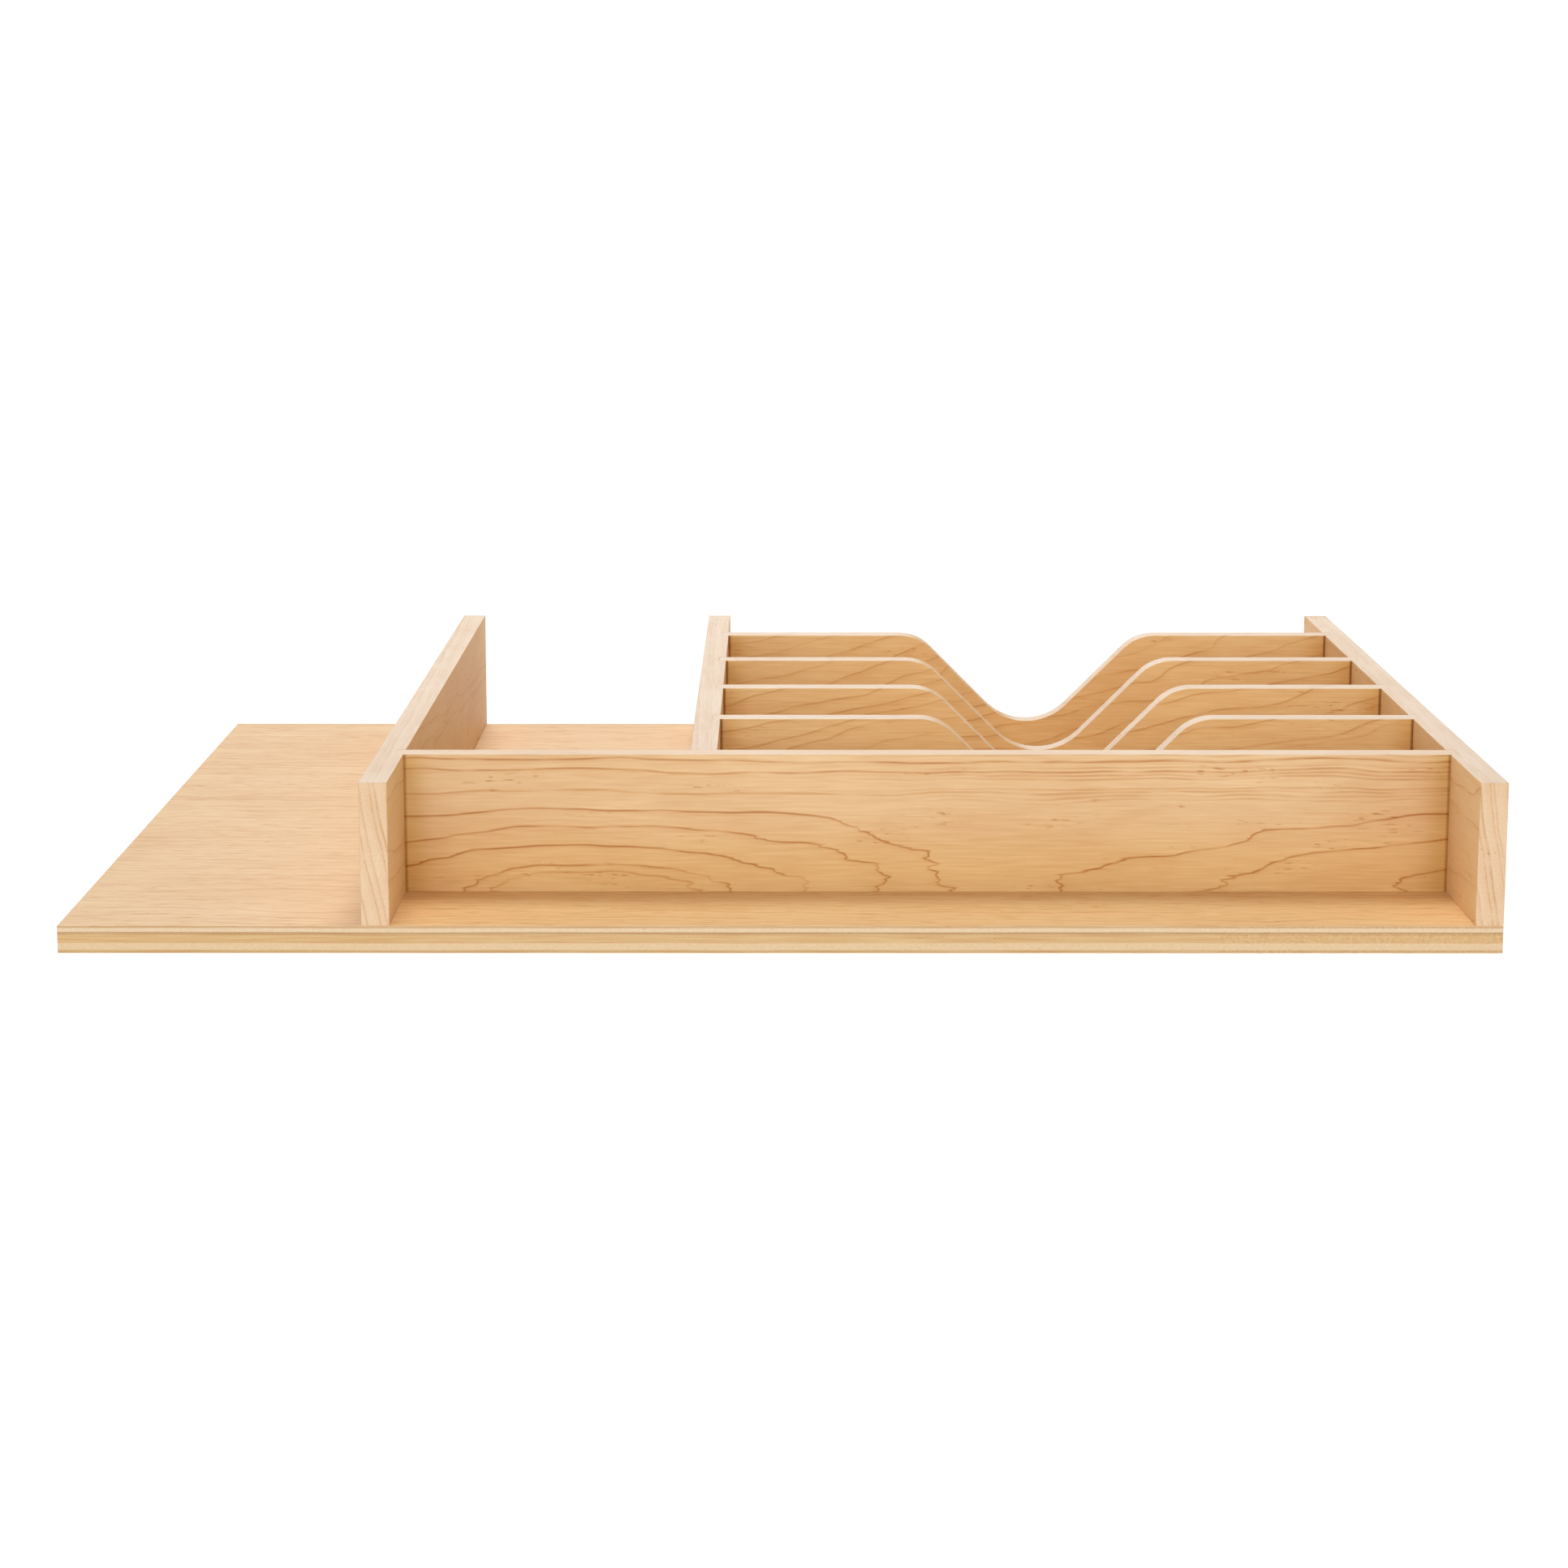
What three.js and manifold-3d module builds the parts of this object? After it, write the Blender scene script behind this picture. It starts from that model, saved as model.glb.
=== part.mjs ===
// Drawer organizer insert: a plywood base carries three fixed maple dividers and a cross panel.
// Four scooped dividers stand in grooves and lift straight out. Everything fixed is screwed from beneath.
// Millimetres. +X runs right along the front edge, +Y to the rear, +Z up.
// The origin is on the underside, at the centre of the base.
import * as THREE from 'three';
import { mergeVertices } from 'three/addons/utils/BufferGeometryUtils.js';
import Module from 'manifold-3d';

const wasm = await Module();
wasm.setup();

// Driving dimensions
const STOCK = 12.7; // every board is half-inch stock
const WIDTH = 650; // base, along X
const DEPTH = 540; // base and long dividers, along Y
const WALL = 65.5; // every upright, above the base
const LEDGE = 136.7; // bare base left of the left divider, where it is trimmed to the drawer
const BAY = 133.3; // clear width between the left and middle dividers
const FRONT_TRAY = 71; // clear depth in front of the cross panel
const FIRST_GAP = 86.4; // clear depth behind the cross panel
const RACK_GAP = 82.9; // clear depth between two scooped dividers
const SCOOPED = 4; // scooped dividers

// Grooves that hold the panel ends, open at the top
const GROOVE_DEPTH = 4;
const CLEARANCE = 0.3; // between a panel and its groove, and between a screw and its hole

// Finger scoop: two 45 degree slopes between rounded shoulders and a round bottom
const SCOOP_FLOOR = 16; // lowest point above the base
const SCOOP_BOTTOM_RADIUS = 32;
const SCOOP_SHOULDER_RADIUS = 25;
const SCOOP_SLOPE = Math.PI / 4;
const SCOOP_STEPS = 10; // straight pieces in each rounded stretch

// Countersunk wood screws, driven up through the base
const SCREW_LENGTH = 31.75;
const SCREW_SUNK = 0.2; // head face above the underside
const HEAD_RADIUS = 3.45;
const SHANK_RADIUS = 1.75;
const TIP_LENGTH = 4;
const RECESS_ARM = 3.8; // length of one arm pair of the cross recess
const RECESS_WIDTH = 0.9;
const RECESS_DEPTH = 1.5;
const ROUND_SIDES = 16;
const FRONT_SCREW = 40; // from the front edge
const MIDDLE_SCREW = 320;
const REAR_SCREW = 505;
const BEHIND_CROSS = 125; // front screw of the middle divider
const CROSS_SCREW_SPACING = 193;

// Places, measured from the front left corner of the underside
const leftX = LEDGE;
const middleX = LEDGE + STOCK + BAY;
const rightX = WIDTH - STOCK;
const crossY = FRONT_TRAY;
const middleY = crossY + STOCK;
const rackLeft = middleX + STOCK;
const rackWidth = rightX - rackLeft;
const scoopedY = Array.from({ length: SCOOPED }, (_, i) => middleY + FIRST_GAP + i * (STOCK + RACK_GAP));

const plywood = new THREE.MeshStandardMaterial({ color: '#e6c190', roughness: 0.55, metalness: 0 });
const maple = new THREE.MeshStandardMaterial({ color: '#e8c79b', roughness: 0.5, metalness: 0 });
const scoopedMaple = new THREE.MeshStandardMaterial({ color: '#d9ad74', roughness: 0.5, metalness: 0 });
const zincSteel = new THREE.MeshStandardMaterial({ color: '#c9c6bd', roughness: 0.35, metalness: 1 });

function toSolid(geometry) {
  const bare = geometry.clone();
  bare.deleteAttribute('normal');
  bare.deleteAttribute('uv');
  const merged = mergeVertices(bare);
  const index = merged.index.array;
  const triangles = [];
  for (let i = 0; i < index.length; i += 3) {
    const [a, b, c] = [index[i], index[i + 1], index[i + 2]];
    if (a !== b && b !== c && c !== a) triangles.push(a, b, c);
  }
  const vertProperties = new Float32Array(merged.attributes.position.array);
  const triVerts = new Uint32Array(triangles);
  return new wasm.Manifold(new wasm.Mesh({ numProp: 3, vertProperties, triVerts }));
}

function toGeometry(solid) {
  const { vertProperties, triVerts } = solid.getMesh();
  const geometry = new THREE.BufferGeometry();
  geometry.setAttribute('position', new THREE.BufferAttribute(new Float32Array(vertProperties), 3));
  geometry.setIndex(new THREE.BufferAttribute(new Uint32Array(triVerts), 1));
  geometry.computeVertexNormals();
  return geometry;
}

function cut(geometry, cutters) {
  let solid = toSolid(geometry);
  for (const cutter of cutters) solid = solid.subtract(toSolid(cutter));
  return toGeometry(solid);
}

// A turned solid on the Z axis, from [radius, height] pairs that start and end on the axis, lowest first.
function turned(profile) {
  const points = profile.map(([radius, height]) => new THREE.Vector2(radius, height));
  return new THREE.LatheGeometry(points, ROUND_SIDES).rotateX(Math.PI / 2);
}

// A board seen from above as an outline, raised to the height of the uprights.
function raised(outline) {
  const shape = new THREE.Shape(outline.map(([x, y]) => new THREE.Vector2(x, y)));
  return new THREE.ExtrudeGeometry(shape, { depth: WALL, bevelEnabled: false });
}

// A long divider from its own front left corner, with grooves in one side face.
// side is +1 for grooves in the right face and -1 for the left face.
function dividerBlank(length, grooves, side) {
  const face = side > 0 ? STOCK : 0;
  const back = STOCK - face;
  const floor = face - side * GROOVE_DEPTH;
  const outline = [[face, 0]];
  for (const y of grooves) {
    outline.push([face, y - CLEARANCE], [floor, y - CLEARANCE]);
    outline.push([floor, y + STOCK + CLEARANCE], [face, y + STOCK + CLEARANCE]);
  }
  outline.push([face, length], [back, length], [back, 0]);
  return raised(outline);
}

// Room for a screw's shank in the underside of an upright.
function pilotHole(x, y) {
  const radius = SHANK_RADIUS + CLEARANCE;
  const top = SCREW_SUNK + SCREW_LENGTH - STOCK + CLEARANCE;
  return turned([[0, -1], [radius, -1], [radius, top], [0, top]]).translate(x, y, 0);
}

// A clearance hole through the base, countersunk from beneath.
function screwHole(x, y) {
  const wide = HEAD_RADIUS + CLEARANCE;
  const narrow = SHANK_RADIUS + CLEARANCE;
  const coneTop = SCREW_SUNK + wide - narrow;
  const profile = [[0, -1], [wide, -1], [wide, SCREW_SUNK], [narrow, coneTop]];
  profile.push([narrow, STOCK + 1], [0, STOCK + 1]);
  return turned(profile).translate(x, y, 0);
}

function screw() {
  const coneTop = HEAD_RADIUS - SHANK_RADIUS;
  const shankTop = SCREW_LENGTH - TIP_LENGTH;
  const profile = [[0, 0], [HEAD_RADIUS, 0], [SHANK_RADIUS, coneTop], [SHANK_RADIUS, shankTop]];
  profile.push([0, SCREW_LENGTH]);
  const arm = new THREE.BoxGeometry(RECESS_ARM, RECESS_WIDTH, 2 * RECESS_DEPTH);
  return cut(turned(profile), [arm, arm.clone().rotateZ(Math.PI / 2)]);
}

function basePanel() {
  const board = new THREE.BoxGeometry(WIDTH, DEPTH, STOCK).translate(WIDTH / 2, DEPTH / 2, STOCK / 2);
  return cut(board, screwPlaces.map(({ x, y }) => screwHole(x, y)));
}

function divider(name, x, y, grooves, side) {
  const blank = dividerBlank(DEPTH - y, grooves.map((place) => place - y), side);
  const holes = screwPlaces.filter((place) => place.holds === name);
  return cut(blank, holes.map((place) => pilotHole(place.x - x, place.y - y)));
}

function crossPanel(x, length) {
  const board = new THREE.BoxGeometry(length, STOCK, WALL).translate(length / 2, STOCK / 2, WALL / 2);
  const holes = screwPlaces.filter((place) => place.holds === 'cross_panel');
  return cut(board, holes.map((place) => pilotHole(place.x - x, STOCK / 2)));
}

// Points of an arc about a centre in the panel's own X-Z plane, between two angles.
function arc(centreX, centreZ, radius, from, to) {
  const points = [];
  for (let i = 0; i <= SCOOP_STEPS; i += 1) {
    const angle = from + ((to - from) * i) / SCOOP_STEPS;
    points.push(new THREE.Vector2(centreX + radius * Math.cos(angle), centreZ + radius * Math.sin(angle)));
  }
  return points;
}

// A scooped divider, seen from the front and centred on X = 0. It is as long as its two grooves allow.
function scoopedDivider() {
  const half = rackWidth / 2 + GROOVE_DEPTH - CLEARANCE;
  const slack = 1 / Math.cos(SCOOP_SLOPE) - 1;
  const slopesMeet = SCOOP_FLOOR - slack * SCOOP_BOTTOM_RADIUS;
  const mouth = (WALL - slopesMeet) / Math.tan(SCOOP_SLOPE);
  const shoulder = mouth + SCOOP_SHOULDER_RADIUS * Math.tan(SCOOP_SLOPE / 2);
  const shoulderZ = WALL - SCOOP_SHOULDER_RADIUS;
  const up = Math.PI / 2;
  const outline = [new THREE.Vector2(half, 0), new THREE.Vector2(half, WALL)];
  outline.push(...arc(shoulder, shoulderZ, SCOOP_SHOULDER_RADIUS, up, up + SCOOP_SLOPE));
  const bottomZ = SCOOP_FLOOR + SCOOP_BOTTOM_RADIUS;
  outline.push(...arc(0, bottomZ, SCOOP_BOTTOM_RADIUS, -up + SCOOP_SLOPE, -up - SCOOP_SLOPE));
  outline.push(...arc(-shoulder, shoulderZ, SCOOP_SHOULDER_RADIUS, up - SCOOP_SLOPE, up));
  outline.push(new THREE.Vector2(-half, WALL), new THREE.Vector2(-half, 0));
  const geometry = new THREE.ExtrudeGeometry(new THREE.Shape(outline), { depth: STOCK, bevelEnabled: false });
  return geometry.rotateX(Math.PI / 2).translate(0, STOCK, 0);
}

// Every screw: the upright that it holds, and its place in the base.
function placeScrews() {
  const places = [];
  const along = (holds, x, ys) => ys.forEach((y) => places.push({ holds, x: x + STOCK / 2, y }));
  along('left_divider', leftX, [FRONT_SCREW, MIDDLE_SCREW, REAR_SCREW]);
  along('middle_divider', middleX, [BEHIND_CROSS, MIDDLE_SCREW, REAR_SCREW]);
  along('right_divider', rightX, [FRONT_SCREW, MIDDLE_SCREW, REAR_SCREW]);
  const crossCentre = (leftX + STOCK + rightX) / 2;
  for (const step of [-1, 0, 1]) {
    const x = crossCentre + step * CROSS_SCREW_SPACING;
    places.push({ holds: 'cross_panel', x, y: crossY + STOCK / 2 });
  }
  return places;
}

const screwPlaces = placeScrews();

// Everything is placed from the front left corner, and the group brings the base's centre to the origin.
const insert = new THREE.Group();
insert.position.set(-WIDTH / 2, -DEPTH / 2, 0);

function add(name, geometry, material, x, y, z) {
  const mesh = new THREE.Mesh(geometry, material);
  mesh.name = name;
  mesh.position.set(x, y, z);
  insert.add(mesh);
}

const crossX = leftX + STOCK - GROOVE_DEPTH + CLEARANCE;
const crossLength = rightX + GROOVE_DEPTH - CLEARANCE - crossX;
const rightGrooves = [crossY, ...scoopedY];

add('base_panel', basePanel(), plywood, 0, 0, 0);
add('left_divider', divider('left_divider', leftX, 0, [crossY], 1), maple, leftX, 0, STOCK);
add('middle_divider', divider('middle_divider', middleX, middleY, scoopedY, 1), maple, middleX, middleY, STOCK);
add('right_divider', divider('right_divider', rightX, 0, rightGrooves, -1), maple, rightX, 0, STOCK);
add('cross_panel', crossPanel(crossX, crossLength), maple, crossX, crossY, STOCK);
scoopedY.forEach((y, i) => {
  add(`scooped_divider_${i + 1}`, scoopedDivider(), scoopedMaple, rackLeft + rackWidth / 2, y, STOCK);
});
screwPlaces.forEach(({ holds, x, y }, i) => {
  const number = screwPlaces.slice(0, i).filter((place) => place.holds === holds).length + 1;
  add(`${holds}_screw_${number}`, screw(), zincSteel, x, y, SCREW_SUNK);
});

const model = new THREE.Group();
model.add(insert);

export default model;
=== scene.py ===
"""Drawer organizer insert: maple boards with eased edges and growth-ring grain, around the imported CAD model.

Every board keeps the place and size of its CAD node. Shapes are in metres. The grain is worked out in
millimetres, in directions of each board's own: along the grain, through the board's thickness, and up the
width of the board.
"""

import math
from dataclasses import dataclass

import bmesh
import bpy
from mathutils import Euler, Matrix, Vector


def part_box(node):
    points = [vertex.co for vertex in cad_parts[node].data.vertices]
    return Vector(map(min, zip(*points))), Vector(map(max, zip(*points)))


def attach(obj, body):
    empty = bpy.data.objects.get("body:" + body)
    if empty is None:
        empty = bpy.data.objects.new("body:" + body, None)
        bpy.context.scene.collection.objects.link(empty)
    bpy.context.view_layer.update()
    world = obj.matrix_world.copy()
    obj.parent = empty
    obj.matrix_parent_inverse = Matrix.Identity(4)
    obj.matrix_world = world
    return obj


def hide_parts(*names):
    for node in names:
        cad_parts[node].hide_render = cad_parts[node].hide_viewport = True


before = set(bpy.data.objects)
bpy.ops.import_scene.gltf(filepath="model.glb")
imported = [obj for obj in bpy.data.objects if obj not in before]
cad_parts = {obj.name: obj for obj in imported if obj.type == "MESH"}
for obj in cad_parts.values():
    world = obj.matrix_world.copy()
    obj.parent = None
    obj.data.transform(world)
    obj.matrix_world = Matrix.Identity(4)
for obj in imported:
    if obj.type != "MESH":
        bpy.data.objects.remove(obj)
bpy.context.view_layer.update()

MM = 0.001

# Shapes of the boards
EASE = 0.4 * MM  # radius of a sanded edge
EASE_STEPS = 3
SHARP = math.radians(30)  # the least angle of an edge that gets sanded round
SHARP_SHADING = math.radians(40)  # wider than the angle between two facets of an eased edge
SAME = 0.01 * MM  # places closer than this are one place
PAST_SURFACE = 1 * MM  # how far a cutter stands out of the surface that it cuts
GROOVE_DEPTH = 3.8 * MM
CLEARANCE = 0.1 * MM  # between a panel and each side of its groove
SCOOP_FLOOR = 16 * MM
SCOOP_BOTTOM_RADIUS = 32 * MM
SCOOP_SHOULDER_RADIUS = 25 * MM
SCOOP_SLOPE = math.pi / 4
SCOOP_STEPS = 24

# Screws and the holes that they sit in
HEAD_RADIUS = 3.45 * MM
HEAD_RIM = 0.3 * MM
CORE_RADIUS = 1.2 * MM
THREAD_RADIUS = 1.75 * MM
THREAD_PITCH = 2.1 * MM
SHANK_END = 9 * MM  # where the thread starts, from the head
PLAIN_SHANK = 0.4  # the plain shank's radius, as a share of the way from the core's to the thread's
RINGS_PER_TURN = 8  # of the thread
TIP_LENGTH = 4 * MM
SCREW_SIDES = 32
RECESS_ARM = 1.9 * MM
RECESS_WIDTH = 0.9 * MM
RECESS_DEPTH = 1.5 * MM
COUNTERSINK_RADIUS = 3.75 * MM
HOLE_RADIUS = 2.05 * MM
HOLE_SIDES = 32
HOLE_PAST_TIP = 0.3 * MM

FRAME_BODY = "insert_frame"
SCOOPED = sorted(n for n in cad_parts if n.startswith("scooped_divider"))
SCREWS = sorted(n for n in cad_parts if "_screw_" in n)


# Objects and meshes

def put_in_scene(name, data):
    thing = bpy.data.objects.new(name, data)
    bpy.context.scene.collection.objects.link(thing)
    return thing


def object_of(name, form):
    """An object in the scene with the shape of a bmesh, which is used up."""
    mesh = bpy.data.meshes.new(name)
    form.to_mesh(mesh)
    form.free()
    return put_in_scene(name, mesh)


def shade_smooth(mesh):
    for face in mesh.polygons:
        face.use_smooth = True


# Stage, camera and light

def make_camera():
    """The camera stands low in front of the insert and looks slightly down along its depth."""
    data = bpy.data.cameras.new("camera")
    data.sensor_width = 36
    data.lens = 81.17
    data.clip_start = 0.05
    data.clip_end = 50
    camera = put_in_scene("camera", data)
    camera.location = (-0.0006, -1.8188, 0.3688)
    pitch, yaw, roll = math.radians(10.65), math.radians(0.075), math.radians(0.033)
    camera.rotation_euler = Euler((math.pi / 2 - pitch, -roll, -yaw), "XYZ")
    bpy.context.scene.camera = camera


def make_backdrop():
    """A white studio bowl: a flat floor that curves up far behind every view of the insert."""
    flat, rim, steps, sides = 4.0, 8.0, 8, 64
    rise = 0.18  # metres of height for each square metre past the flat floor
    form = bmesh.new()
    rings = []
    for i in range(steps + 1):
        radius = flat + (rim - flat) * i / steps
        height = rise * (radius - flat) ** 2
        turns = [math.tau * k / sides for k in range(sides)]
        rings.append([form.verts.new((radius * math.cos(a), radius * math.sin(a), height)) for a in turns])
    form.faces.new(rings[0])
    for inner, outer in zip(rings, rings[1:]):
        for k in range(sides):
            n = (k + 1) % sides
            form.faces.new((inner[k], outer[k], outer[n], inner[n]))
    mesh = bpy.data.meshes.new("backdrop")
    form.to_mesh(mesh)
    form.free()
    shade_smooth(mesh)
    material = bpy.data.materials.new("backdrop")
    material.use_nodes = True
    shader = material.node_tree.nodes["Principled BSDF"]
    shader.inputs["Base Color"].default_value = (0.1, 0.1, 0.1, 1)
    shader.inputs["Roughness"].default_value = 0.9
    shader.inputs["Specular IOR Level"].default_value = 0
    shader.inputs["Emission Color"].default_value = (1, 1, 1, 1)
    shader.inputs["Emission Strength"].default_value = 1.0
    mesh.materials.append(material)
    put_in_scene("backdrop", mesh)


def softbox(name, location, size, power):
    """A rectangular studio light that faces the insert."""
    data = bpy.data.lights.new(name, "AREA")
    data.shape = "RECTANGLE"
    data.size, data.size_y = size
    data.energy = power
    light = put_in_scene(name, data)
    light.location = location
    light.rotation_euler = (-Vector(location)).to_track_quat("-Z", "Y").to_euler()


def make_light():
    world = bpy.data.worlds.new("studio")
    world.use_nodes = True
    background = world.node_tree.nodes["Background"]
    background.inputs["Color"].default_value = (1, 1, 1, 1)
    background.inputs["Strength"].default_value = 0.02
    bpy.context.scene.world = world
    softbox("overhead", (-0.1, 0.8, 2.6), (1.2, 1.2), 44)
    softbox("front", (0, -3, 1), (2.4, 1.6), 26)
    softbox("front_left", (-1.7, -2, 2.2), (2, 2), 13)
    softbox("front_right", (1.7, -2, 2.2), (2, 2), 9)
    softbox("rear", (0, 2.4, 1.9), (2, 2), 16)
    bpy.context.scene.view_settings.view_transform = "Standard"


# Boards

def prism(name, outline, depth, place):
    """A closed prism: outline is a loop of (u, v) points, and place maps (u, v, 0 or depth) to the scene."""
    form = bmesh.new()
    low = [form.verts.new(place(u, v, 0)) for u, v in outline]
    high = [form.verts.new(place(u, v, depth)) for u, v in outline]
    form.faces.new(low)
    form.faces.new(high)
    for i in range(len(low)):
        j = (i + 1) % len(low)
        form.faces.new((low[i], low[j], high[j], high[i]))
    bmesh.ops.recalc_face_normals(form, faces=form.faces)
    return object_of(name, form)


def turned(name, rings):
    """A closed solid about Z. Each ring lists a (radius, z) corner for every side, or one point of Z."""
    form = bmesh.new()
    loops = []
    sides = len(rings[0])
    for ring in rings:
        if ring[0][0] == 0:
            loops.append([form.verts.new((0, 0, ring[0][1]))] * sides)
            continue
        angles = [math.tau * k / sides for k in range(sides)]
        corners = [(r * math.cos(a), r * math.sin(a), z) for a, (r, z) in zip(angles, ring)]
        loops.append([form.verts.new(corner) for corner in corners])
    for low, high in zip(loops, loops[1:]):
        for k in range(sides):
            n = (k + 1) % sides
            form.faces.new(list(dict.fromkeys([low[k], low[n], high[n], high[k]])))
    bmesh.ops.recalc_face_normals(form, faces=form.faces)
    return object_of(name, form)


def apply_modifiers(piece):
    bpy.context.view_layer.update()
    graph = bpy.context.evaluated_depsgraph_get()
    plain = piece.data
    piece.data = bpy.data.meshes.new_from_object(piece.evaluated_get(graph), depsgraph=graph)
    piece.modifiers.clear()
    bpy.data.meshes.remove(plain)


def ease_edges(piece, in_joint=lambda a, b: False):
    """Rounds the sharp edges of a board, but not those that in_joint says are part of a groove joint."""
    form = bmesh.new()
    form.from_mesh(piece.data)
    weights = form.edges.layers.float.new("bevel_weight_edge")
    for edge in form.edges:
        sharp = edge.calc_face_angle(0) > SHARP
        edge[weights] = float(sharp and not in_joint(*(corner.co for corner in edge.verts)))
    form.to_mesh(piece.data)
    form.free()
    bevel = piece.modifiers.new("eased_edges", "BEVEL")
    bevel.width = EASE
    bevel.segments = EASE_STEPS
    bevel.limit_method = "WEIGHT"
    apply_modifiers(piece)


def cut(piece, cutters):
    """Cuts each cutter out of the piece and deletes the cutters."""
    for cutter in cutters:
        boolean = piece.modifiers.new("cut", "BOOLEAN")
        boolean.operation = "DIFFERENCE"
        boolean.solver = "EXACT"
        boolean.object = cutter
    apply_modifiers(piece)
    for cutter in cutters:
        mesh = cutter.data
        bpy.data.objects.remove(cutter)
        bpy.data.meshes.remove(mesh)


def screw_hole(node):
    """A cutter for the countersunk hole through the base and the pilot hole above it."""
    low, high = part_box(node)
    top = high.z + HOLE_PAST_TIP
    cone_end = low.z + COUNTERSINK_RADIUS - HOLE_RADIUS  # the cone narrows at 45 degrees, as the head does
    below = low.z - PAST_SURFACE
    wide, narrow = COUNTERSINK_RADIUS, HOLE_RADIUS
    profile = [(0, below), (wide, below), (wide, low.z), (narrow, cone_end), (narrow, top), (0, top)]
    hole = turned("hole", [[point] * HOLE_SIDES for point in profile])
    hole.location = ((low.x + high.x) / 2, (low.y + high.y) / 2, 0)
    return hole


def flat_faces(piece):
    """Shades the eased edges round and keeps the wide faces flat."""
    shade_smooth(piece.data)
    piece.data.set_sharp_from_angle(angle=SHARP_SHADING)
    normals = piece.modifiers.new("flat_faces", "WEIGHTED_NORMAL")
    normals.weight = 100
    normals.keep_sharp = True


def make_base():
    low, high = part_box("base_panel")
    outline = [(low.x, low.y), (high.x, low.y), (high.x, high.y), (low.x, high.y)]
    base = prism("plywood_base", outline, high.z - low.z, lambda u, v, w: (u, v, low.z + w))
    ease_edges(base)
    return base


def make_divider(node, panels, side):
    """An upright along Y, with a groove for the end of each panel.

    side is 1 where the grooves are in the right face and -1 where they are in the left.
    """
    low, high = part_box(node)
    face, back = (high.x, low.x) if side > 0 else (low.x, high.x)
    floor = face - side * GROOVE_DEPTH
    outline = [(face, low.y)]
    for panel in panels:
        start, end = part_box(panel)[0].y - CLEARANCE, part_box(panel)[1].y + CLEARANCE
        outline += [(face, start), (floor, start), (floor, end), (face, end)]
    outline += [(face, high.y), (back, high.y), (back, low.y)]
    divider = prism(node + "_board", outline, high.z - low.z, lambda u, v, w: (u, v, low.z + w))

    def in_groove(a, b):
        between_ends = all(low.y + SAME < corner.y < high.y - SAME for corner in (a, b))
        return between_ends and (abs(a.y - b.y) < SAME or abs(a.x - face) > SAME)

    ease_edges(divider, in_groove)
    return divider


def at_an_end(low, high):
    """Tells whether an edge is on an end face of a panel, which is let into a groove."""
    def test(a, b):
        return abs(a.x - b.x) < SAME and min(abs(a.x - low.x), abs(a.x - high.x)) < SAME
    return test


def make_cross_panel():
    low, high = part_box("cross_panel")
    outline = [(low.x, low.z), (high.x, low.z), (high.x, high.z), (low.x, high.z)]
    panel = prism("cross_panel_board", outline, high.y - low.y, lambda u, v, w: (u, low.y + w, v))
    ease_edges(panel, at_an_end(low, high))
    return panel


def arc(centre, radius, start, end):
    angles = [start + (end - start) * i / SCOOP_STEPS for i in range(SCOOP_STEPS + 1)]
    return [(centre[0] + radius * math.cos(a), centre[1] + radius * math.sin(a)) for a in angles]


def make_scooped_divider(node):
    """A divider with a finger scoop: two round shoulders, two straight slopes and a round bottom."""
    low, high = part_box(node)
    middle = (low.x + high.x) / 2
    height = high.z - low.z
    slopes_meet = SCOOP_FLOOR - SCOOP_BOTTOM_RADIUS * (1 / math.cos(SCOOP_SLOPE) - 1)
    mouth = (height - slopes_meet) / math.tan(SCOOP_SLOPE)
    shoulder = mouth + SCOOP_SHOULDER_RADIUS * math.tan(SCOOP_SLOPE / 2)
    shoulder_z = high.z - SCOOP_SHOULDER_RADIUS
    bottom = (middle, low.z + SCOOP_FLOOR + SCOOP_BOTTOM_RADIUS)
    up = math.pi / 2
    outline = [(high.x, low.z), (high.x, high.z)]
    outline += arc((middle + shoulder, shoulder_z), SCOOP_SHOULDER_RADIUS, up, up + SCOOP_SLOPE)
    outline += arc(bottom, SCOOP_BOTTOM_RADIUS, SCOOP_SLOPE - up, -SCOOP_SLOPE - up)
    outline += arc((middle - shoulder, shoulder_z), SCOOP_SHOULDER_RADIUS, up - SCOOP_SLOPE, up)
    outline += [(low.x, high.z), (low.x, low.z)]
    divider = prism(node + "_board", outline, high.y - low.y, lambda u, v, w: (u, low.y + w, v))
    ease_edges(divider, at_an_end(low, high))
    return divider


# Screws

def screw_radius(z, angle, length):
    """A screw's radius at a height above the flat of its head and an angle: plain, threaded, then a point."""
    taper = min(1, (length - z) / TIP_LENGTH)
    if z < SHANK_END:
        return CORE_RADIUS + (THREAD_RADIUS - CORE_RADIUS) * PLAIN_SHANK
    turn = (z / THREAD_PITCH - angle / math.tau) % 1
    crest = max(0, 1 - abs(turn - 0.5) * 4)  # the thread fills the middle half of each turn
    fade_in = min(1, (z - SHANK_END) / THREAD_PITCH)
    return taper * (CORE_RADIUS + (THREAD_RADIUS - CORE_RADIUS) * crest * fade_in)


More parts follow.
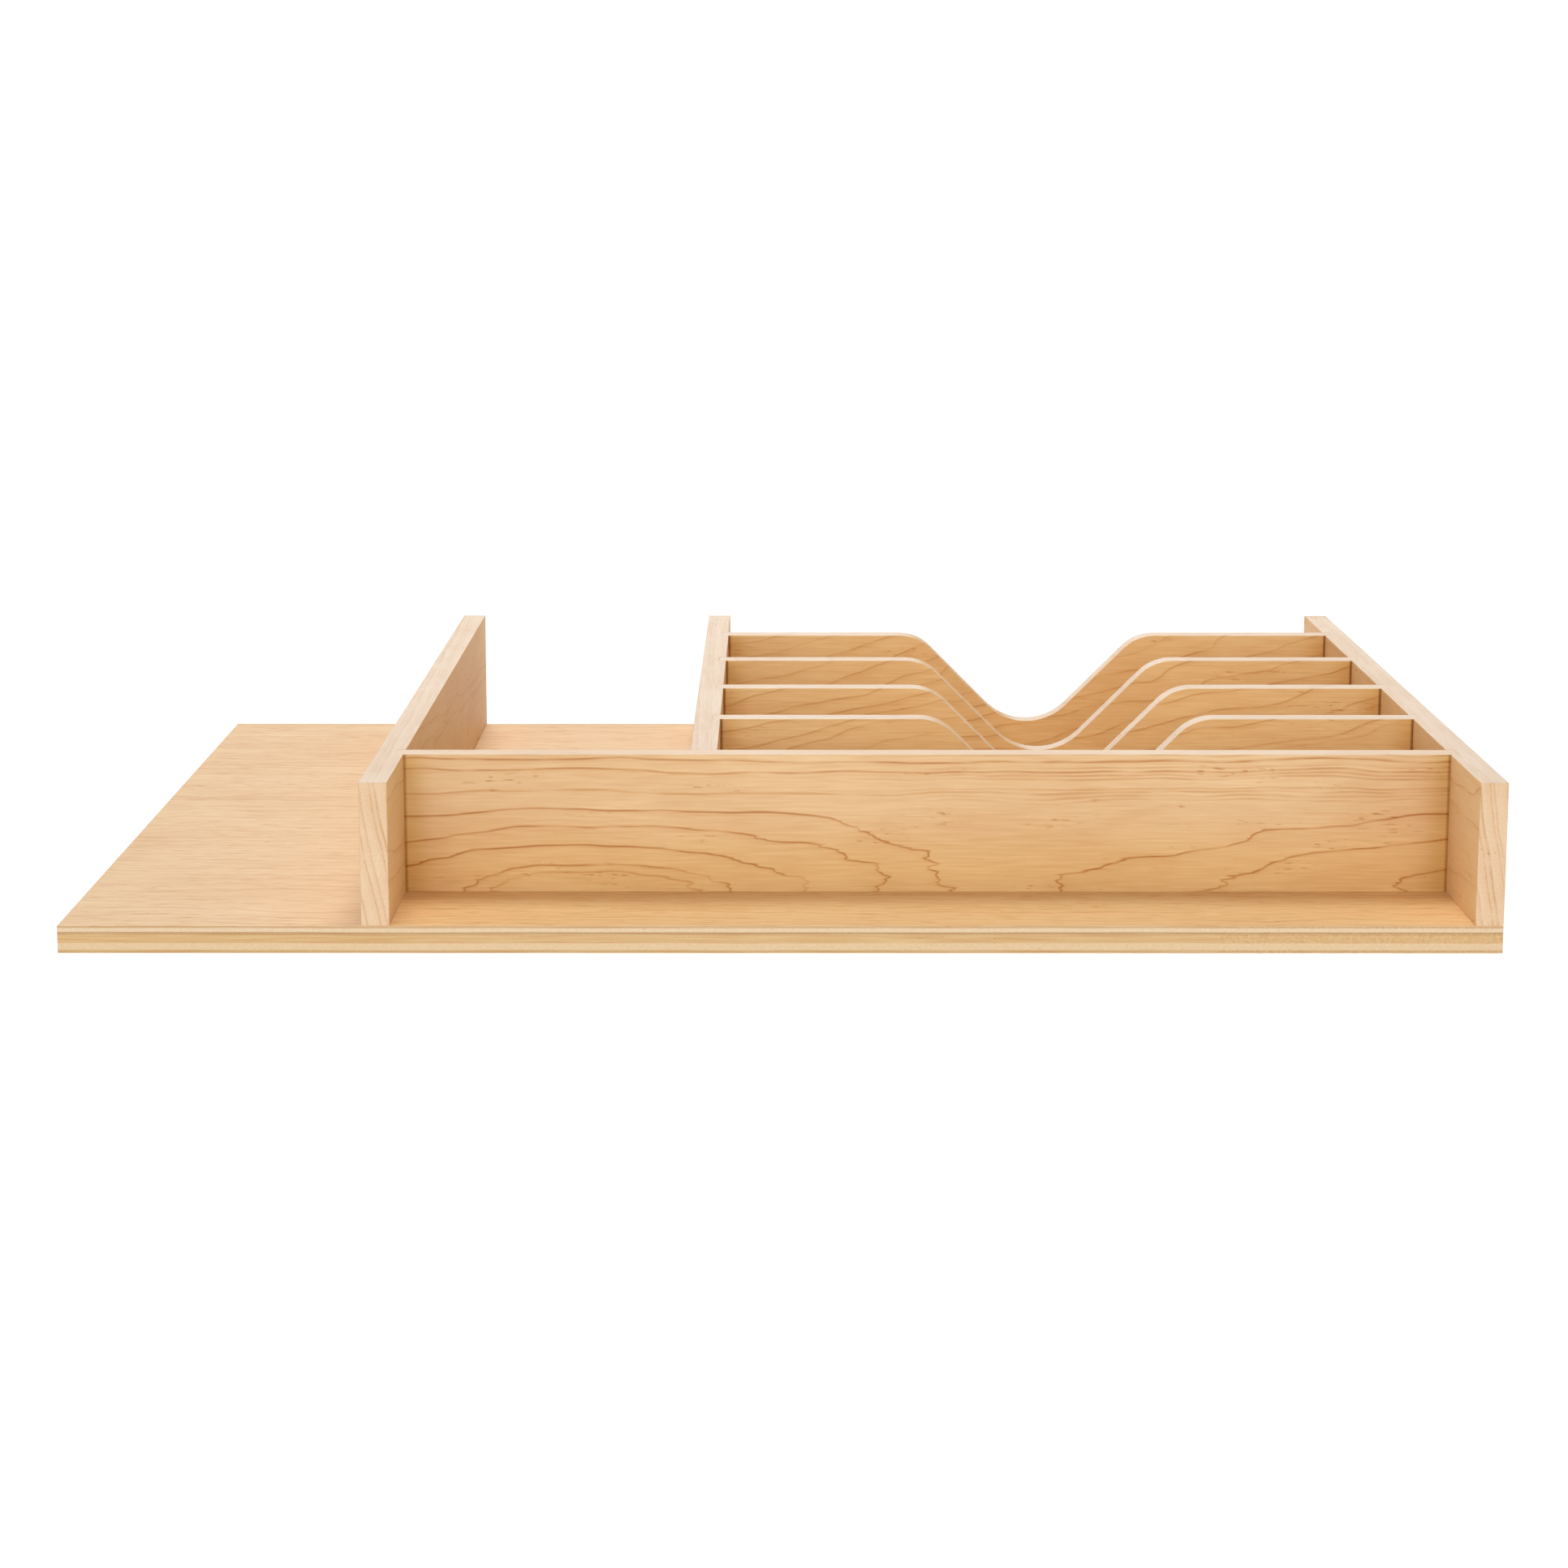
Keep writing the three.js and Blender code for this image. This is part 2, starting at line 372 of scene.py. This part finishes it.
def make_screw_mesh(length):
    """A countersunk wood screw with a cross recess, pointing up Z from the centre of its head."""
    neck = screw_radius(0, 0, length)
    cone = HEAD_RADIUS - neck
    profile = [(0, 0), (HEAD_RADIUS - HEAD_RIM / 2, 0), (HEAD_RADIUS, HEAD_RIM / 2), (HEAD_RADIUS, HEAD_RIM)]
    rings = [[point] * SCREW_SIDES for point in profile]
    angles = [math.tau * k / SCREW_SIDES for k in range(SCREW_SIDES)]
    z = HEAD_RIM + cone
    while z < length:
        rings.append([(screw_radius(z, angle, length), z) for angle in angles])
        z += THREAD_PITCH / RINGS_PER_TURN
    rings.append([(0, length)] * SCREW_SIDES)
    blank = turned("screw", rings)
    cut(blank, [recess_arm(0), recess_arm(math.pi / 2)])
    mesh = blank.data
    bpy.data.objects.remove(blank)
    shade_smooth(mesh)
    mesh.set_sharp_from_angle(angle=SHARP_SHADING)
    return mesh


def recess_arm(angle):
    """A tapered slot, half of the cross recess, that narrows towards its bottom."""
    half = RECESS_WIDTH / 2
    outline = [(-RECESS_ARM, -PAST_SURFACE), (RECESS_ARM, -PAST_SURFACE), (RECESS_ARM, 0)]
    outline += [(half, RECESS_DEPTH), (-half, RECESS_DEPTH), (-RECESS_ARM, 0)]
    arm = prism("recess", outline, RECESS_WIDTH, lambda u, v, w: (u, w - half, v))
    arm.rotation_euler = (0, 0, angle)
    return arm


def make_screw(node, mesh):
    low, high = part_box(node)
    screw = put_in_scene(node + "_threaded", mesh)
    screw.location = ((low.x + high.x) / 2, (low.y + high.y) / 2, low.z)
    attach(screw, FRAME_BODY)
    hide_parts(node)


# Material building

class Graph:
    """Adds nodes to a material. An input is a socket, which is linked, or a constant, which is set."""

    def __init__(self, name):
        self.material = bpy.data.materials.new(name)
        self.material.use_nodes = True
        self.tree = self.material.node_tree
        self.shader = self.tree.nodes["Principled BSDF"]

    def coordinates(self):
        """Where a point of the surface is, in millimetres, and which way the surface faces there."""
        node = self.tree.nodes.new("ShaderNodeTexCoord")
        return self.scale(node.outputs["Object"], 1 / MM), node.outputs["Normal"]

    def put(self, value, socket):
        if isinstance(value, bpy.types.NodeSocket):
            self.tree.links.new(value, socket)
        else:
            socket.default_value = value

    def add(self, kind, inputs, output=0, **settings):
        node = self.tree.nodes.new(kind)
        for name, value in settings.items():
            setattr(node, name, value)
        for key, value in inputs.items():
            self.put(value, node.inputs[key])
        return node.outputs[output]

    def math(self, operation, *values):
        return self.add("ShaderNodeMath", dict(enumerate(values)), operation=operation)

    def vector(self, operation, *values):
        output = "Value" if operation in ("LENGTH", "DOT_PRODUCT") else "Vector"
        return self.add("ShaderNodeVectorMath", dict(enumerate(values)), output, operation=operation)

    def parts(self, vector):
        node = self.tree.nodes.new("ShaderNodeSeparateXYZ")
        self.tree.links.new(vector, node.inputs[0])
        return list(node.outputs)

    def join(self, x, y, z):
        return self.add("ShaderNodeCombineXYZ", {0: x, 1: y, 2: z})

    def smooth(self, value, start, end, low=0.0, high=1.0):
        """low at start and high at end, with a smooth step between. The step may fall as well as rise."""
        inputs = {"Value": value, "From Min": start, "From Max": end, "To Min": low, "To Max": high}
        return self.add("ShaderNodeMapRange", inputs, interpolation_type="SMOOTHSTEP")

    def noise(self, place, size, detail=1.0, seed=0.0):
        """Noise from about -0.5 to 0.5, with features of size millimetres along each direction of place."""
        scaled = self.vector("DIVIDE", place, size)
        moved = self.vector("ADD", scaled, (seed, seed * 1.7, seed * 0.6))
        wave = self.add("ShaderNodeTexNoise", {"Vector": moved, "Scale": 1.0, "Detail": detail})
        return self.math("SUBTRACT", wave, 0.5)

    def random(self, value, seed):
        """A number from 0 to 1 that looks random and depends only on value and seed."""
        inputs = {"W": self.math("ADD", value, seed)}
        return self.add("ShaderNodeTexWhiteNoise", inputs, "Value", noise_dimensions="1D")

    def mix(self, share, first, second, blend="MIX"):
        """From the first colour, where share is 0, to its blend with the second, where share is 1."""
        inputs = {0: share, 6: first, 7: second}
        return self.add("ShaderNodeMix", inputs, 2, data_type="RGBA", blend_type=blend, clamp_factor=True)

    def scale(self, vector, factor):
        return self.add("ShaderNodeVectorMath", {0: vector, "Scale": factor}, operation="SCALE")


@dataclass
class Grain:
    """How a board was sawn from its log. Lengths are millimetres in the board's own directions."""
    axes: tuple            # the row-frame axes that run along, through and up the board
    origin: tuple          # the row-frame point that the other lengths start from
    seed: float
    spacing: float = 8.0   # between growth rings
    bend: float = 1.0      # 1 where the rings close in arches round the heart, 0 where they run straight
    apex: float = 0.0      # where the arch crests, along the board
    reach: float = 184.0   # from the crest to the saddle past it
    near: float = 1.0      # how fast the arch falls before its crest, beside how fast it falls past it
    far: float = 0.45      # how fast it rises again past the saddle
    saddle: float = 8.0    # how far the saddle spreads
    stretch: float = 4.4   # how many times longer than high the arch is
    heart: float = 0.0     # height of the heart that the arch closes round
    fade: tuple = (22.0, 55.0)  # heights between which the arch flattens out
    lean: tuple = (0.0, 0.0, 0.0)  # how fast the rings pass, along, through and up the board
    jag: float = 30.0      # how far saw-tooth jags move a ring along the board
    jag_size: tuple = (34.0, 14.0, 4.6)  # size of those jags
    wander: float = 9.0    # how far long waves move a ring
    wave: tuple = (75.0, 25.0, 24.0)  # size of those waves


def board_directions(g, vector, grain):
    """A vector of the row frame, in the board's directions: along, through and up."""
    parts = g.parts(vector)
    return g.join(*[parts[axis] for axis in grain.axes])


SLOPE_STEP = 0.4  # millimetres between the points that a ring's slope is measured from
LEAST_SLOPE = 0.05  # keeps a ring that lies in the surface from spreading over it
RING_JITTER = 0.7  # how widely rings scatter about their even places, as a share of the spacing
RING_CORE = 0.1  # millimetres from a ring line's middle to where it starts to fade
LATE_WOOD = 4.0  # millimetres over which the wood darkens towards a ring line
CLOSE_RINGS = 2.4  # how many close rings there are for each ordinary one
CLOSE_UP = (36, 48)  # heights, in millimetres, between which the close rings come in
CLOSE_ALONG = (170, 330)  # and the same along the board


def ring_position(g, place, grain):
    """How many millimetres of growth separate a point from the heart of the log."""
    along, _, up = g.parts(place)
    jag = g.noise(place, grain.jag_size, 2, grain.seed)
    past_crest = g.math("MULTIPLY_ADD", jag, grain.jag, g.math("SUBTRACT", along, grain.apex))
    rising_again = g.math("MULTIPLY_ADD", past_crest, -grain.far, grain.reach * (1 + grain.far))
    arch = g.math("MAXIMUM", g.math("SMOOTH_MIN", past_crest, rising_again, grain.saddle), 0)
    arch = g.math("MAXIMUM", arch, g.math("MULTIPLY", past_crest, -grain.near))
    arch = g.math("MULTIPLY", g.math("DIVIDE", arch, grain.stretch), g.smooth(up, *grain.fade, 1, 0))
    distance = g.vector("LENGTH", g.join(arch, 0, g.math("SUBTRACT", up, grain.heart)))
    straight = g.vector("DOT_PRODUCT", place, grain.lean)
    position = g.math("MULTIPLY_ADD", distance, grain.bend, straight)
    wander = g.noise(place, grain.wave, 2, grain.seed + 3)
    return g.math("MULTIPLY_ADD", wander, grain.wander, position)


def ring_slope(g, place, normal, grain):
    """The ring position at a point, and how fast it changes over the surface there."""
    here = ring_position(g, place, grain)
    slopes = []
    for offset in ((SLOPE_STEP, 0, 0), (0, SLOPE_STEP, 0), (0, 0, SLOPE_STEP)):
        there = ring_position(g, g.vector("ADD", place, offset), grain)
        slopes.append(g.math("DIVIDE", g.math("SUBTRACT", there, here), SLOPE_STEP))
    slope = g.join(*slopes)
    into = g.scale(normal, g.vector("DOT_PRODUCT", slope, normal))
    return here, g.math("MAXIMUM", g.vector("LENGTH", g.vector("SUBTRACT", slope, into)), LEAST_SLOPE)


def ring_gap(g, here, steepness, spacing, seed):
    """The distance over the surface from the nearest ring, signed, and that ring's number."""
    count = g.math("DIVIDE", here, spacing)
    ring = g.math("ROUND", count)
    jitter = g.math("MULTIPLY", g.math("SUBTRACT", g.random(ring, seed), 0.5), RING_JITTER)
    late = g.math("SUBTRACT", g.math("SUBTRACT", count, ring), jitter)
    return g.math("DIVIDE", g.math("MULTIPLY", late, spacing), steepness), ring


NO_TINT = (1.0, 1.0, 1.0)


@dataclass
class Look:
    """The colours of a board, linear, and how strongly its figure shows."""
    face: tuple                          # the wide faces
    end: tuple = (0.75, 0.53, 0.335)     # the narrow upright faces
    top: tuple = (0.90, 0.71, 0.54)      # the narrow faces that point up or down; paler than the rest, a painted highlight of the light from above
    line: float = 0.31                   # how much darker a growth-ring line is
    line_width: float = 0.75             # millimetres from a line's middle to where it has faded out
    band: float = 0.05                   # how much darker the late wood beside a line is
    mottle: float = 0.14                 # how much broad patches differ
    streak: float = 0.14                 # how much the fibres differ
    dash: float = 0.0                    # how much darker short, distinct fibres are
    fleck: float = 0.20                  # how much darker a small fleck is
    fibre: tuple = (22.0, 1.1, 1.1)      # size of the fibres that show
    close_rings: float = 0.0             # strength of the close rings by the upper edge, at the far end
    lower: tuple = NO_TINT               # painted warm shade: a golden, darker tint of the wood towards the lower edge
    seam: tuple = NO_TINT                # painted shade: a darker tint of the wood towards the grooves that hold the ends
    joint: tuple = NO_TINT               # painted shadow line: a dark tint of the narrow strip right beside those grooves
    left_slope_shade: tuple = NO_TINT             # painted shade on a scoop's left slope, which faces up and right, away from the light
    tray_shade: tuple = NO_TINT                # painted shade: a deeper tint of the floor of the front tray


def ring_line(g, gap, width):
    """1 on a ring, fading to 0 at width millimetres from it."""
    return g.smooth(g.math("ABSOLUTE", gap), RING_CORE, width, 1, 0)


def figure(g, place, normal, grain, look):
    """How strongly the growth rings mark a point: their thin lines, and the darker wood beside them.

    Some rings are fainter than others, and all of them fade in patches.
    """
    here, steepness = ring_slope(g, place, normal, grain)
    gap, ring = ring_gap(g, here, steepness, grain.spacing, grain.seed)
    beside = g.math("MULTIPLY", g.smooth(gap, -LATE_WOOD, 0), g.math("LESS_THAN", gap, 0))
    strength = g.smooth(g.random(ring, grain.seed + 9), 0.05, 0.7, 0.45, 1)
    patches = g.smooth(g.noise(place, (26, 20, 8), 2, grain.seed + 5), -0.2, 0.1, 0.3, 1)
    strength = g.math("MULTIPLY", strength, patches)
    line = g.math("MULTIPLY", ring_line(g, gap, look.line_width), strength)
    if look.close_rings:
        along, _, up = g.parts(place)
        close_gap, _ = ring_gap(g, here, steepness, grain.spacing / CLOSE_RINGS, grain.seed + 31)
        where = g.math("MULTIPLY", g.smooth(up, *CLOSE_UP), g.smooth(along, *CLOSE_ALONG))
        where = g.math("MULTIPLY", g.math("MULTIPLY", where, patches), look.close_rings)
        line = g.math("MAXIMUM", line, g.math("MULTIPLY", ring_line(g, close_gap, look.line_width), where))
    return line, g.math("MULTIPLY", beside, strength)


def maple(name, grain, look, length):
    """Sealed maple: pale wood, thin growth-ring lines, long fibres and small brown flecks.

    length is the board's, along its grain. Each noise adds a number of its own to the seed, so that no two
    noises follow each other. is_face is 1 on the wide faces, and is_top on those that point up or down.
    """
    g = Graph(name)
    spot, facing = g.coordinates()
    place = board_directions(g, g.vector("SUBTRACT", spot, grain.origin), grain)
    normal = board_directions(g, facing, grain)
    is_face = g.smooth(g.math("ABSOLUTE", g.parts(normal)[1]), 0.45, 0.8)
    is_top = g.smooth(g.math("ABSOLUTE", g.parts(facing)[2]), 0.5, 0.7)

    mottle = g.noise(place, (70, 30, 22), 2, grain.seed + 11)
    fibres = g.noise(place, look.fibre, 2, grain.seed + 13)
    fine = g.noise(place, (12, 0.5, 0.5), 1, grain.seed + 17)
    line, beside = figure(g, place, normal, grain, look)
    specks = g.smooth(g.noise(place, (7, 1.5, 1.1), 2, grain.seed + 19), 0.08, 0.2)
    sparse = g.smooth(g.noise(place, (45, 25, 9), 1, grain.seed + 23), 0.1, 0.2)
    faint_on_top = g.math("MULTIPLY_ADD", g.math("SUBTRACT", 1, is_face), g.math("MULTIPLY", is_top, -0.7), 1)
    tone = g.math("MULTIPLY_ADD", mottle, look.mottle, 1)
    tone = g.math("MULTIPLY_ADD", fibres, look.streak, tone)
    tone = g.math("MULTIPLY_ADD", fine, look.streak / 2, tone)
    tone = g.math("MULTIPLY_ADD", beside, -look.band, tone)
    tone = g.math("MULTIPLY_ADD", g.math("MULTIPLY", line, faint_on_top), -look.line, tone)
    tone = g.math("MULTIPLY_ADD", g.math("MULTIPLY", specks, sparse), -look.fleck, tone)
    if look.dash:
        dashes = g.smooth(fibres, -0.05, 0.25)
        tone = g.math("MULTIPLY_ADD", dashes, -look.dash, tone)

    # The paler colour of faces that point up or down is a painted highlight of the light from above.
    edge = g.mix(is_top, (*look.end, 1), (*look.top, 1))
    # Painted shade on a scoop's left slope, which faces up and right, away from the light.
    looks_up_right = g.vector("DOT_PRODUCT", normal, (math.sqrt(0.5), 0, math.sqrt(0.5)))
    edge = tint(g, edge, look.left_slope_shade, g.smooth(looks_up_right, 0.8, 0.97))
    face = face_colour(g, place, look, length)
    # Painted shade on the floor of the front tray.
    if look.tray_shade != NO_TINT:
        face = tint(g, face, look.tray_shade, in_front_tray(g, spot, facing))
    seal(g, stain(g, g.mix(is_face, edge, face), tone), fibres, fine)
    return g.material


def face_colour(g, place, look, length):
    """The wide face's colour, with painted warm shade low down, painted shade towards the grooves at its ends
    and a painted shadow line by them.
    """
    along, _, up = g.parts(place)
    lip = GROOVE_DEPTH / MM
    to_end = g.math("MINIMUM", along, g.math("SUBTRACT", length, along))
    # Painted warm shade towards the lower edge.
    face = tint(g, (*look.face, 1), look.lower, g.smooth(up, 5, 45, 1, 0))
    # Painted shade towards the grooves at the ends.
    face = tint(g, face, look.seam, g.smooth(to_end, lip, lip + 16, 1, 0))
    # A narrow painted shadow line just out of each groove.
    out_of_groove = g.smooth(to_end, lip - 0.7, lip - 0.3)
    shadow_beside_groove = g.smooth(to_end, lip + 0.5, lip + 1.6, 1, 0)
    return tint(g, face, look.joint, g.math("MULTIPLY", out_of_groove, shadow_beside_groove))


def in_front_tray(g, spot, facing):
    """Where the tray floor's painted shade goes: 1 on the floor right of the left divider, in front of the
    cross panel, and 0 elsewhere.
    """
    x, y, _ = g.parts(spot)
    left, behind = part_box("left_divider"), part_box("cross_panel")
    right_of = g.smooth(x, left[0].x / MM, left[1].x / MM)
    in_front = g.smooth(y, behind[0].y / MM, behind[1].y / MM, 1, 0)
    faces_up = g.smooth(g.parts(facing)[2], 0, 0.5)
    return g.math("MULTIPLY", g.math("MULTIPLY", right_of, in_front), faces_up)


def tint(g, colour, by, share):
    """Multiplies a colour by another where share is 1 and leaves it alone where share is 0."""
    if by == NO_TINT:
        return colour
    return g.mix(share, colour, g.mix(1.0, colour, (*by, 1), "MULTIPLY"))


def stain(g, colour, tone):
    """Darkens wood as its pigments do: blue the most and red the least."""
    green = g.math("MULTIPLY", tone, tone)
    return g.vector("MULTIPLY", colour, g.join(tone, green, g.math("MULTIPLY", green, tone)))


def seal(g, colour, fibres, fine):
    """Satin lacquer over the wood, with the fibres standing very slightly proud."""
    g.put(colour, g.shader.inputs["Base Color"])
    g.put(g.math("MULTIPLY_ADD", fibres, 0.12, 0.55), g.shader.inputs["Roughness"])
    g.shader.inputs["Specular IOR Level"].default_value = 0.2
    height = g.math("MULTIPLY_ADD", fibres, 2, fine)
    inputs = {"Height": height, "Strength": 0.25, "Distance": 0.02 * MM}
    g.put(g.add("ShaderNodeBump", inputs), g.shader.inputs["Normal"])


# Plywood plies from the top face down: thickness in millimetres, colour, and whether the grain runs along X
PLIES = (
    (1.1, (0.60, 0.38, 0.20), True),
    (1.9, (0.74, 0.56, 0.36), False),
    (0.5, (0.46, 0.27, 0.12), True),
    (0.9, (0.57, 0.35, 0.16), True),
    (3.6, (0.64, 0.41, 0.19), True),
    (3.2, (0.72, 0.52, 0.31), False),
    (1.5, (0.58, 0.37, 0.17), True),
)
CORE_SEAM = 196 * MM  # the X past which the plies along X show no long fibres
PLY_VOID = (0.28, 0.17, 0.08, 1)


def plywood_edge(name, top, seed):
    """The cut edge of the base: plies, each with its own colour and its grain along X or along Y.

    top is the height of the base's upper face, in metres.
    """
    g = Graph(name)
    place, _ = g.coordinates()
    depth = g.math("SUBTRACT", top / MM, g.parts(place)[2])
    depth = g.math("MULTIPLY_ADD", g.noise(place, (60, 60, 500), 1, seed), 0.5, depth)
    total = sum(thickness for thickness, _, _ in PLIES)
    colours = g.tree.nodes.new("ShaderNodeValToRGB")
    lengthwise = g.tree.nodes.new("ShaderNodeValToRGB")
    start = 0
    for i, (thickness, colour, along_x) in enumerate(PLIES):
        for node, value in ((colours, (*colour, 1)), (lengthwise, (along_x, along_x, along_x, 1))):
            ramp = node.color_ramp
            ramp.interpolation = "CONSTANT"
            stop = ramp.elements[i] if i < 2 else ramp.elements.new(start / total)
            stop.position = start / total
            stop.color = value
        start += thickness
    for node in (colours, lengthwise):
        g.put(g.math("DIVIDE", depth, total), node.inputs[0])
    long_x = g.noise(place, (30, 1.2, 0.8), 2, seed + 2)
    long_y = g.noise(place, (1.2, 30, 0.8), 2, seed + 4)
    left_strip = g.smooth(g.parts(place)[0], CORE_SEAM / MM, CORE_SEAM / MM + 2, 1, 0)
    shows_long_x = g.math("MULTIPLY", lengthwise.outputs[0], left_strip)
    fibres = g.add("ShaderNodeMix", {0: shows_long_x, 2: long_y, 3: long_x}, 0, data_type="FLOAT")
    fine = g.noise(place, (2.5, 2.5, 0.35), 2, seed + 6)
    contrast = g.math("MULTIPLY_ADD", lengthwise.outputs[0], 0.2, 0.14)
    tone = g.math("MULTIPLY_ADD", fibres, contrast, g.math("MULTIPLY_ADD", fine, 0.1, 1))
    colour = stain(g, colours.outputs[0], tone)
    voids = g.smooth(g.noise(place, (5, 5, 0.7), 1, seed + 8), 0.24, 0.3)
    sparse = g.smooth(g.noise(place, (90, 90, 20), 1, seed + 10), 0.05, 0.16)
    dark = g.math("MULTIPLY", g.math("MULTIPLY", voids, sparse), 0.5)
    colour = g.mix(dark, colour, PLY_VOID)
    seal(g, colour, fibres, fine)
    return g.material


def zinc_steel():
    """Bright zinc plating with a faint yellow cast, duller where it is thin, and fine turning marks."""
    g = Graph("zinc_plate")
    place, _ = g.coordinates()
    cloud = g.noise(place, (1.5, 1.5, 1.5), 3, 1)
    marks = g.noise(place, (4, 4, 0.08), 1, 2)
    colour = g.mix(g.math("ADD", cloud, 0.5), (0.62, 0.62, 0.58, 1), (0.80, 0.77, 0.66, 1))
    g.put(colour, g.shader.inputs["Base Color"])
    g.shader.inputs["Metallic"].default_value = 1
    g.put(g.math("MULTIPLY_ADD", cloud, 0.25, 0.32), g.shader.inputs["Roughness"])
    inputs = {"Height": marks, "Strength": 0.3, "Distance": 0.01 * MM}
    g.put(g.add("ShaderNodeBump", inputs), g.shader.inputs["Normal"])
    return g.material


# The boards' wood

def origin_of(node):
    """The left front lower corner of a node, in millimetres."""
    return tuple(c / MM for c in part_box(node)[0])


def length_of(node, axis):
    """How far a node reaches along an axis of the row frame, in millimetres."""
    low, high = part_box(node)
    return (high[axis] - low[axis]) / MM


CROSS_GRAIN = Grain((0, 1, 2), origin_of("cross_panel"), 18.0, apex=92.0)
# Its paler top is a painted highlight; its tints are painted warm shade low down, painted shade towards the
# grooves and a painted shadow line beside them.
CROSS_LOOK = Look((0.79, 0.535, 0.290), top=(0.91, 0.69, 0.49), close_rings=0.45, fleck=0.26, streak=0.17,
                  lower=(1.0, 0.94, 0.76), seam=(0.88, 0.82, 0.60), joint=(0.68, 0.54, 0.36))

BASE_GRAIN = Grain((0, 2, 1), origin_of("base_panel"), 5.0, spacing=7.0, bend=0.0, lean=(0.02, 0.0, 1.0),
                   jag=0.0, wander=24.0, wave=(70.0, 40.0, 30.0))
# Its tint for the front tray floor is painted shade.
BASE_LOOK = Look((0.91, 0.647, 0.385), line=0.09, line_width=0.9, dash=0.13, fibre=(12.0, 1.0, 2.0),
                 tray_shade=(0.97, 0.90, 0.73))


def divider_grain(node, seed):
    """Rift-sawn: the rings stand nearly upright through the board's thickness."""
    return Grain((1, 0, 2), origin_of(node), seed, spacing=3.6, bend=0.0, lean=(0.01, 0.98, 0.17),
                 jag=0.0, wander=5.0, wave=(120.0, 30.0, 40.0))


def scooped_grain(node, seed):
    """Flat-sawn on a slant: long streaks that climb to the right."""
    return Grain((0, 1, 2), origin_of(node), seed, spacing=6.0, bend=0.0, lean=(-0.15, 0.1, 0.6),
                 jag=20.0, wander=16.0, wave=(90.0, 30.0, 30.0))


DIVIDER_LOOKS = {
    "left_divider": Look((0.76, 0.485, 0.222), line=0.14),
    "middle_divider": Look((0.74, 0.48, 0.24), line=0.14),
    "right_divider": Look((0.80, 0.53, 0.27), line=0.14),
}
# Its tints are painted shade towards the grooves, a painted shadow line beside them and painted shade on each
# scoop's left slope.
SCOOPED_LOOK = Look((0.855, 0.575, 0.272), line=0.16, streak=0.2, seam=(0.90, 0.83, 0.66),
                    joint=(0.45, 0.32, 0.24), left_slope_shade=(0.88, 0.74, 0.52))


# Assembly

def show_plies(piece):
    """Gives the cut sides of a plywood board its second material."""
    for face in piece.data.polygons:
        face.material_index = int(abs(face.normal.z) < 0.5)


def finish_board(piece, node, body, materials):
    holes = [screw_hole(screw) for screw in SCREWS if node == "base_panel" or screw.startswith(node)]
    if holes:
        cut(piece, holes)
    for material in materials:
        piece.data.materials.append(material)
    if len(materials) > 1:
        show_plies(piece)
    flat_faces(piece)
    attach(piece, body)
    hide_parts(node)


make_camera()
make_backdrop()
make_light()

base_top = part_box("base_panel")[1].z
base_wood = [maple("base_maple", BASE_GRAIN, BASE_LOOK, length_of("base_panel", 0)),
             plywood_edge("base_plies", base_top, 7.0)]
finish_board(make_base(), "base_panel", FRAME_BODY, base_wood)

for seed, (node, panels, side) in enumerate((
        ("left_divider", ["cross_panel"], 1),
        ("middle_divider", SCOOPED, 1),
        ("right_divider", ["cross_panel", *SCOOPED], -1))):
    wood = maple(node + "_maple", divider_grain(node, 11.0 + seed), DIVIDER_LOOKS[node], length_of(node, 1))
    finish_board(make_divider(node, panels, side), node, FRAME_BODY, [wood])

cross_wood = maple("cross_panel_maple", CROSS_GRAIN, CROSS_LOOK, length_of("cross_panel", 0))
finish_board(make_cross_panel(), "cross_panel", FRAME_BODY, [cross_wood])

for seed, node in enumerate(SCOOPED):
    wood = maple(node + "_maple", scooped_grain(node, 21.0 + seed), SCOOPED_LOOK, length_of(node, 0))
    finish_board(make_scooped_divider(node), node, node, [wood])

screw_low, screw_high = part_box(SCREWS[0])
screw_mesh = make_screw_mesh(screw_high.z - screw_low.z)
screw_mesh.materials.append(zinc_steel())
for node in SCREWS:
    make_screw(node, screw_mesh)
